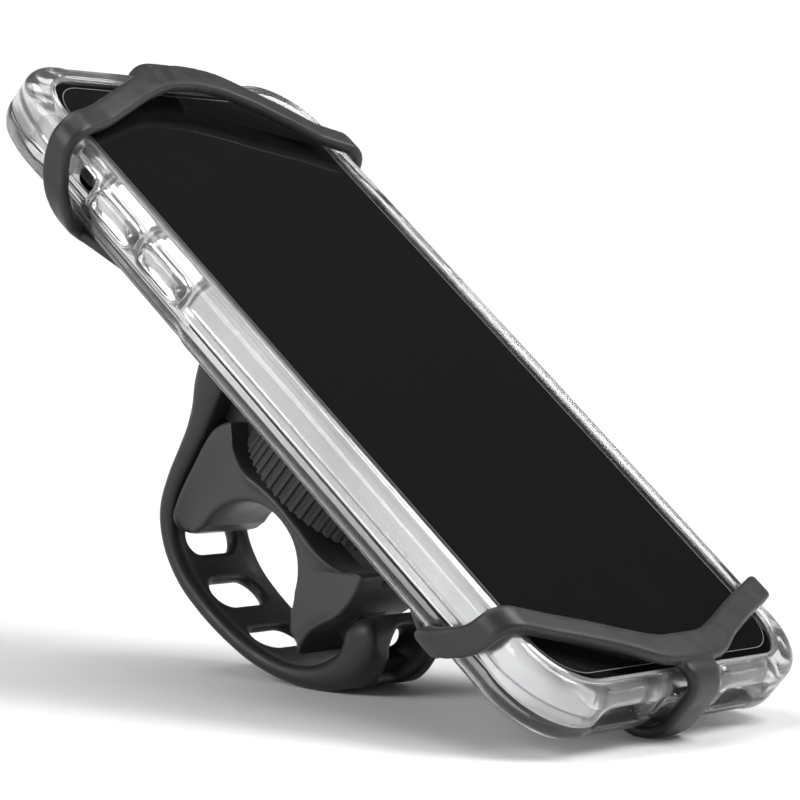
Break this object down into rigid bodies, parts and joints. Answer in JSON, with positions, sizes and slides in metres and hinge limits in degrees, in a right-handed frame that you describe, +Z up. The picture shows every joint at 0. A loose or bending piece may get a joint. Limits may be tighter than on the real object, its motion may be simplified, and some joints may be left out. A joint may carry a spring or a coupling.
{
  "type": "phone handlebar mount",
  "caption": "Stretch silicone phone mount with corner yokes, a fluted swivel turntable and a slotted strap that wraps a handlebar, holding a phone in a clear case.",
  "frame": {"origin": "centre of the handlebar seat, in the saddle's mid plane", "axes": "+X along the handlebar, +Z up when the mount stands on its strap loop and the phone's lower end, screen facing -Y and up"},
  "size_m": [0.0816, 0.1292, 0.105],
  "materials": {
    "silicone": "matt moulded silicone",
    "saddle_rubber": "smooth matt elastomer",
    "nylon": "fine-grained moulded nylon",
    "washer_nylon": "natural nylon",
    "steel": "turned steel",
    "brass": "turned brass",
    "clear_case": "clear polished elastomer",
    "phone_metal": "bright silver",
    "phone_glass": "polished, black behind",
    "display_panel": "switched off",
    "lens_glass": "coated",
    "battery_wrap": "foil pouch",
    "circuit_board": "solder mask"
  },
  "bodies": {
    "base": {"base_frame": "nylon", "saddle": "saddle_rubber", "strap_pin": "steel", "pivot_bolt": "steel", "spring_washer": "steel", "friction_washer": "washer_nylon", "pivot_nut": "brass"},
    "strap": {"handlebar_strap": "silicone"},
    "tail": {"strap_tail": "silicone"},
    "cradle": {"cradle_pad": "silicone", "core_plate": "nylon", "core_screws": "steel", "turntable_ring": "nylon", "case_shell": "clear_case", "phone_frame": "phone_metal", "phone_front_glass": "phone_glass", "phone_back_glass": "phone_glass", "phone_display": "display_panel", "phone_battery": "battery_wrap", "phone_logic_board": "circuit_board", "phone_port": "phone_metal", "phone_camera_island": "phone_metal", "phone_camera_lenses": "lens_glass"},
    "top_yoke": {"top_yoke": "silicone"},
    "bottom_yoke": {"bottom_yoke": "silicone"},
    "volume_up": {"phone_volume_up": "phone_metal", "case_volume_up_cover": "clear_case"},
    "volume_down": {"phone_volume_down": "phone_metal", "case_volume_down_cover": "clear_case"},
    "side_button": {"phone_side_button": "phone_metal", "case_side_button_cover": "clear_case"},
    "mute_switch": {"phone_mute_switch": "phone_metal"}
  },
  "joints": [
    {"name": "swivel", "type": "hinge", "parent": "base", "child": "cradle", "pos_m": [0, -0.01527, 0.01954], "axis": [0, -0.6157, 0.788], "continuous": true},
    {"name": "strap_open", "type": "hinge", "parent": "base", "child": "strap", "pos_m": [0, 0.00838, 0.03345], "axis": [1, 0, 0], "range_deg": [0, 25]},
    {"name": "tail_peel", "type": "hinge", "parent": "strap", "child": "tail", "pos_m": [0, -0.01821, -0.02006], "axis": [1, 0, 0], "range_deg": [0, 150]},
    {"name": "top_yoke_peel", "type": "hinge", "parent": "cradle", "child": "top_yoke", "pos_m": [0, 0.04548, 0.07335], "axis": [-1, 0, 0], "range_deg": [0, 110], "stiffness_Nm_per_rad": 0.01, "springref_deg": -11.46},
    {"name": "bottom_yoke_peel", "type": "hinge", "parent": "cradle", "child": "bottom_yoke", "pos_m": [0, -0.07902, -0.02392], "axis": [1, 0, 0], "range_deg": [0, 110], "stiffness_Nm_per_rad": 0.01, "springref_deg": -11.46},
    {"name": "volume_up_press", "type": "slide", "parent": "cradle", "child": "volume_up", "axis": [1, 0, 0], "range_m": [0, 0.0004], "stiffness_N_per_m": 1500, "springref_m": -0.0002},
    {"name": "volume_down_press", "type": "slide", "parent": "cradle", "child": "volume_down", "axis": [1, 0, 0], "range_m": [0, 0.0004], "stiffness_N_per_m": 1500, "springref_m": -0.0002},
    {"name": "side_button_press", "type": "slide", "parent": "cradle", "child": "side_button", "axis": [-1, 0, 0], "range_m": [0, 0.0004], "stiffness_N_per_m": 1500, "springref_m": -0.0002},
    {"name": "mute_slide", "type": "slide", "parent": "cradle", "child": "mute_switch", "axis": [0, -0.6157, 0.788], "range_m": [-0.0006, 0]}
  ],
  "couplings": [
    {"joint": "tail_peel", "follows": "strap_open", "ratio": 6}
  ]
}
